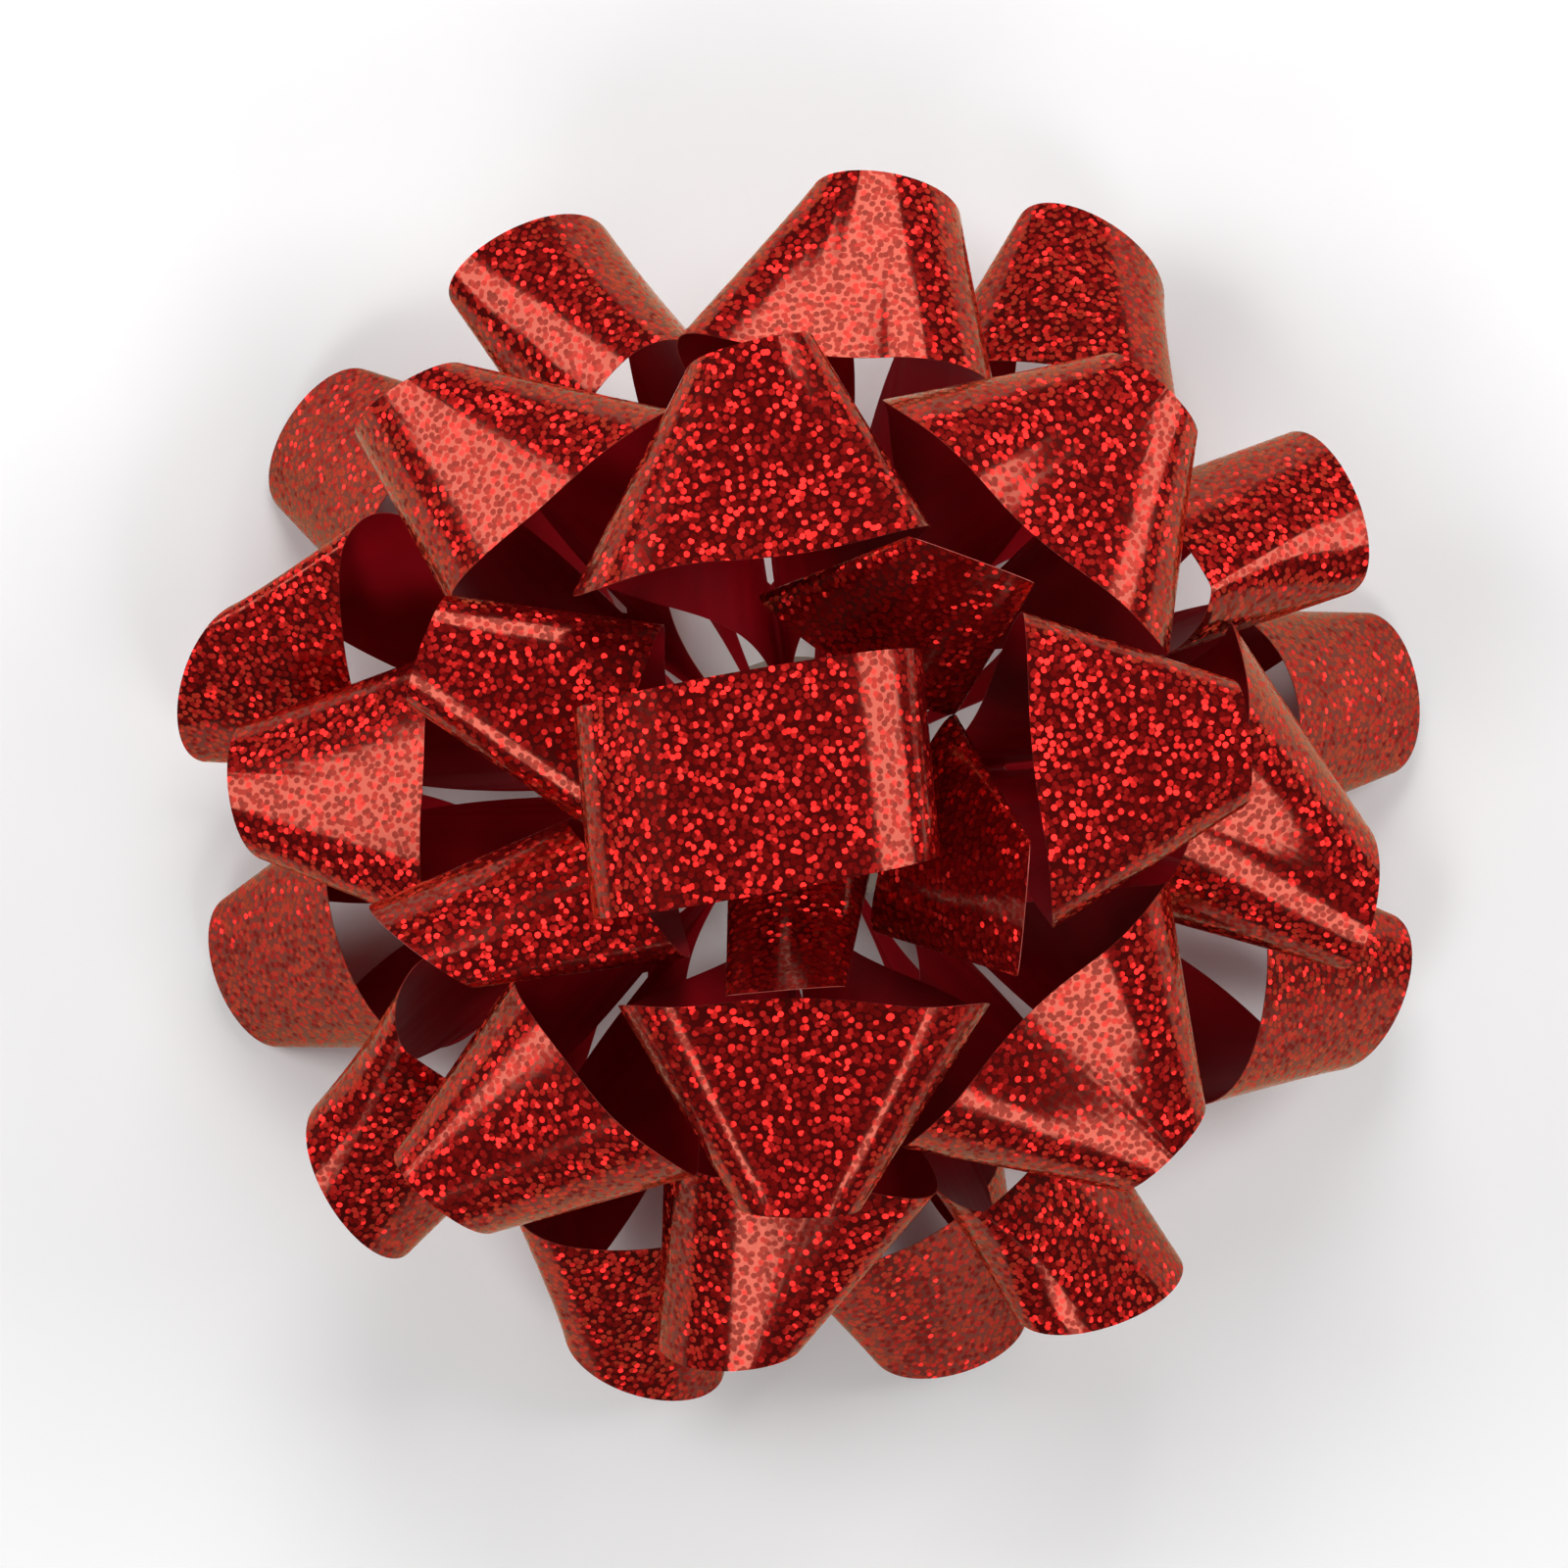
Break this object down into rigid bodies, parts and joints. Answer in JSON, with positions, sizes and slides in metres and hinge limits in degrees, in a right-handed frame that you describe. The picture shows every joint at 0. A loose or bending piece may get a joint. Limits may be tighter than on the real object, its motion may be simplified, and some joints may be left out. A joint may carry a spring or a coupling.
{
  "type": "gift bow",
  "caption": "Ready-made star gift bow: layered red ribbon loops gathered round a hub on a peel-and-stick base, for decorating a wrapped present.",
  "frame": {"origin": "centre of the base face, on the underside of the release liner", "axes": "+Z along the hub axis from the base to the face of the bow; +Y up and +X right as the bow is seen face-on in the picture"},
  "size_m": [0.2308, 0.2249, 0.122],
  "materials": {
    "ribbon_film": "metallised holographic polypropylene film, glossy outer face, satin inner face",
    "core_plastic": "moulded, satin",
    "rivet_plastic": "moulded, satin",
    "card": "grey chipboard, matt",
    "foam": "closed-cell double-sided adhesive foam, matt",
    "liner_paper": "waxed paper, satin"
  },
  "bodies": {
    "bow": {"loop_1a": "ribbon_film", "loop_1b": "ribbon_film", "loop_1c": "ribbon_film", "loop_1d": "ribbon_film", "loop_2a": "ribbon_film", "loop_2b": "ribbon_film", "loop_2c": "ribbon_film", "loop_2d": "ribbon_film", "loop_3a": "ribbon_film", "loop_3b": "ribbon_film", "loop_3c": "ribbon_film", "loop_3d": "ribbon_film", "loop_4a": "ribbon_film", "loop_4b": "ribbon_film", "loop_4c": "ribbon_film", "loop_4d": "ribbon_film", "loop_5a": "ribbon_film", "loop_5b": "ribbon_film", "loop_5c": "ribbon_film", "loop_5d": "ribbon_film", "loop_6a": "ribbon_film", "loop_6b": "ribbon_film", "loop_6c": "ribbon_film", "loop_6d": "ribbon_film", "loop_6e": "ribbon_film", "loop_7a": "ribbon_film", "loop_7b": "ribbon_film", "loop_7c": "ribbon_film", "loop_centre": "ribbon_film", "hub_core": "core_plastic", "hub_rivet": "rivet_plastic", "base_card": "card", "foam_pad": "foam"},
    "liner": {"release_liner": "liner_paper"}
  },
  "joints": [
    {"name": "liner_pull", "type": "slide", "parent": "bow", "child": "liner", "axis": [0, 0, -1], "range_m": [0, 0.04]}
  ]
}
